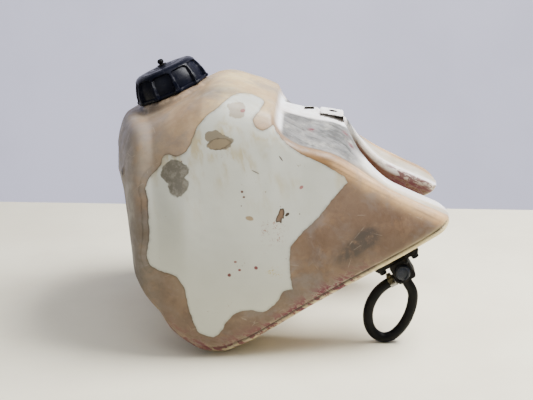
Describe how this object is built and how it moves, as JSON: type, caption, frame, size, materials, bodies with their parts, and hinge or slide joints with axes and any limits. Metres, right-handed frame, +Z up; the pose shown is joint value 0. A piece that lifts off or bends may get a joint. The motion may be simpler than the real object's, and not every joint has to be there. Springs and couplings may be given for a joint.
{
  "type": "motorcycle fuel tank",
  "caption": "Hollow saddle-shaped off-road fuel tank with two side lobes, screw-on vented cap, turn-knob fuel tap and a looped fuel hose.",
  "frame": {"origin": "centre of the tank's bounding box in plan, on the surface that it stands on", "axes": "+X towards the seat and tail, +Y to the rider's right, +Z up as the tank stands on its lobes"},
  "size_m": [0.4175, 0.3217, 0.3411],
  "materials": {
    "shell_plastic": "aged natural polyethylene, tan and satin",
    "vinyl": "weathered white vinyl film",
    "cap_plastic": "black moulded plastic, semi-gloss",
    "tap_casting": "black painted die casting",
    "knob_plastic": "dark moulded knob",
    "rubber": "black nitrile rubber",
    "hose_rubber": "black ribless fuel hose, dusty",
    "steel": "zinc plated steel",
    "black_steel": "black flange bolts",
    "clamp_fitting": "yellow-passivated, tarnished steel",
    "brass": "brass",
    "nylon": "natural nylon"
  },
  "bodies": {
    "tank": {"tank_shell": "shell_plastic", "side_decal": "vinyl", "shroud_insert_left": "brass", "shroud_insert_right": "brass", "seat_insert": "brass", "rear_mount_grommet": "rubber", "rear_mount_sleeve": "steel", "tap_seal": "rubber", "tap_body": "tap_casting", "tap_insert_front": "brass", "tap_washer_front": "black_steel", "tap_bolt_front": "black_steel", "tap_insert_rear": "brass", "tap_washer_rear": "black_steel", "tap_bolt_rear": "black_steel", "standpipe": "brass", "strainer": "nylon", "valve_seal": "rubber", "wave_spring": "steel", "tap_cover": "tap_casting", "cover_screw_upper": "black_steel", "cover_screw_lower": "black_steel", "fuel_hose": "hose_rubber", "hose_clamp": "steel", "clamp_screw": "clamp_fitting"},
    "cap_lift": {"cap_gasket": "rubber"},
    "cap": {"cap_shell": "cap_plastic", "vent_nipple": "rubber", "vent_washer": "rubber"},
    "knob": {"tap_knob": "knob_plastic"}
  },
  "joints": [
    {"name": "cap_rise", "type": "slide", "parent": "tank", "child": "cap_lift", "axis": [-0.3907, 0, 0.9205], "range_m": [0, 0.0241]},
    {"name": "cap_turn", "type": "hinge", "parent": "cap_lift", "child": "cap", "pos_m": [-0.138, 0, 0.2985], "axis": [-0.3907, 0, 0.9205], "range_deg": [0, 1440]},
    {"name": "tap_turn", "type": "hinge", "parent": "tank", "child": "knob", "pos_m": [0.14996, -0.105, 0.09998], "axis": [0, -1, 0], "range_deg": [-90, 90]}
  ],
  "couplings": [
    {"joint": "cap_rise", "follows": "cap_turn", "m_per_rad": 0.00095493}
  ]
}
